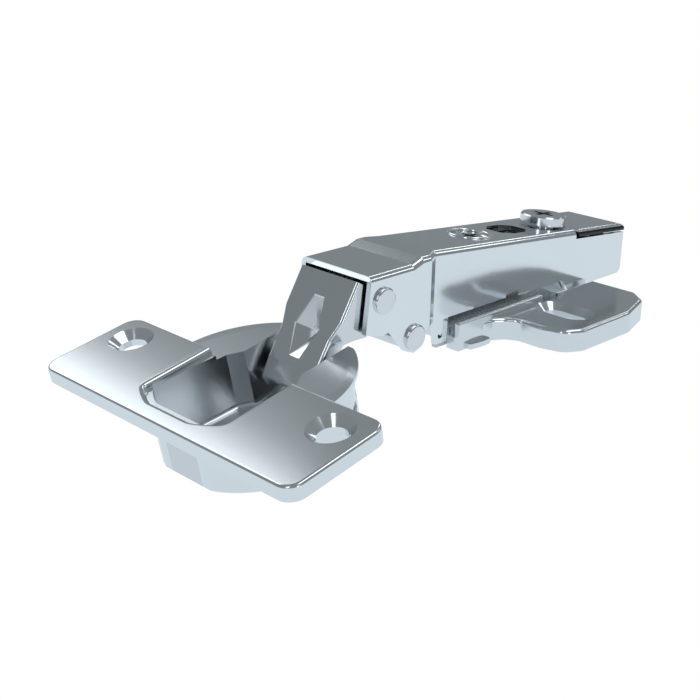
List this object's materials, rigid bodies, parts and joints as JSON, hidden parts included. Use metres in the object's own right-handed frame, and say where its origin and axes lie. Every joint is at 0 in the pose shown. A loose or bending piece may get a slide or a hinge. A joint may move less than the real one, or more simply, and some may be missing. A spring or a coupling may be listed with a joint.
{
  "type": "concealed cup hinge",
  "caption": "Concealed cabinet door hinge: a screw-on cup, a clip-on arm on a winged mounting plate, and a soft-close damper in the arm.",
  "frame": {"origin": "midway between the mounting plate's two fixing slots, on the face of the cabinet side", "axes": "+Z away from the cabinet side, +Y towards the cabinet's back, +X along the hinge axis; the door stands open"},
  "size_m": [0.0654, 0.1196, 0.0313],
  "materials": {
    "plate_metal": "nickel-plated zinc casting",
    "cup_metal": "nickel-plated zinc casting, polished",
    "arm_steel": "nickel-plated steel sheet, polished",
    "inner_steel": "nickel-plated steel sheet",
    "link_steel": "nickel-plated steel",
    "pin_steel": "nickel-plated steel",
    "screw_steel": "nickel-plated steel",
    "cap_steel": "nickel-plated steel sheet, polished",
    "spring_steel": "oiled spring steel",
    "damper_plastic": "moulded grey plastic",
    "dark_plastic": "moulded dark plastic"
  },
  "bodies": {
    "plate": {"mounting_plate": "plate_metal", "clip_carrier": "inner_steel", "lever_pin": "pin_steel", "lever_spring": "spring_steel"},
    "depth_slide": {"slide_plate": "inner_steel"},
    "depth_cam": {"depth_cam": "screw_steel"},
    "side_screw": {"side_screw": "screw_steel"},
    "arm": {"hinge_arm": "arm_steel", "front_arm_pin": "pin_steel", "rear_arm_pin": "pin_steel", "spring_sleeve": "dark_plastic", "closing_spring": "spring_steel", "damper_cylinder": "damper_plastic", "damper_cap": "dark_plastic", "damper_holder": "dark_plastic", "damper_spring": "spring_steel"},
    "outer_link": {"outer_link": "link_steel"},
    "cup": {"hinge_cup": "cup_metal", "outer_cup_pins": "pin_steel", "inner_cup_pin": "pin_steel"},
    "inner_link": {"inner_link": "link_steel", "tail_pin": "pin_steel"},
    "damper_slide": {"damper_slide": "dark_plastic", "damper_rod": "pin_steel", "damper_piston": "dark_plastic"},
    "damper_switch": {"damper_switch": "dark_plastic"},
    "release_lever": {"release_lever": "cap_steel"}
  },
  "joints": [
    {"name": "depth_adjust", "type": "slide", "parent": "plate", "child": "depth_slide", "axis": [0, -1, 0], "range_m": [0, 0.003]},
    {"name": "depth_cam_turn", "type": "hinge", "parent": "depth_slide", "child": "depth_cam", "pos_m": [0, 0.0123, 0.01667], "axis": [0, 0.0936, 0.9956], "range_deg": [0, 141]},
    {"name": "side_adjust", "type": "hinge", "parent": "depth_slide", "child": "arm", "pos_m": [0, 0.0123, 0.014], "axis": [-1, 0, 0], "range_deg": [0, 2]},
    {"name": "side_screw_turn", "type": "hinge", "parent": "depth_slide", "child": "side_screw", "pos_m": [0, -0.0112, 0.01853], "axis": [0, 0.0936, 0.9956], "range_deg": [0, 370]},
    {"name": "door_swing", "type": "hinge", "parent": "outer_link", "child": "cup", "pos_m": [0, -0.05641, -0.0007], "axis": [-1, 0, 0], "range_deg": [0, 124.8]},
    {"name": "outer_link_turn", "type": "hinge", "parent": "arm", "child": "outer_link", "pos_m": [0, -0.0443, 0.0145], "axis": [1, 0, 0], "range_deg": [0, 22.9], "deforming": ["closing_spring"]},
    {"name": "inner_link_turn", "type": "hinge", "parent": "arm", "child": "inner_link", "pos_m": [0, -0.03605, 0.0057], "axis": [1, 0, 0], "range_deg": [0, 32.3]},
    {"name": "damper_stroke", "type": "slide", "parent": "arm", "child": "damper_slide", "axis": [0, -1, 0], "range_m": [0, 0.003], "deforming": ["damper_spring"]},
    {"name": "damper_switch_slide", "type": "slide", "parent": "arm", "child": "damper_switch", "axis": [1, 0, 0], "range_m": [0, 0.0014]},
    {"name": "lever_lift", "type": "hinge", "parent": "plate", "child": "release_lever", "pos_m": [0, 0.0175, 0.0122], "axis": [1, 0, 0], "range_deg": [0, 8], "stiffness_Nm_per_rad": 0.05, "springref_deg": -11.46, "deforming": ["lever_spring"]}
  ],
  "couplings": [
    {"joint": "depth_cam_turn", "follows": "depth_adjust", "rad_per_m": 814.49},
    {"joint": "side_screw_turn", "follows": "side_adjust", "ratio": 184.9},
    {"joint": "outer_link_turn", "follows": "door_swing", "ratio": 0.18269},
    {"joint": "inner_link_turn", "follows": "door_swing", "ratio": 0.25801},
    {"joint": "damper_stroke", "follows": "door_swing", "m_per_rad": 0.0013681}
  ]
}
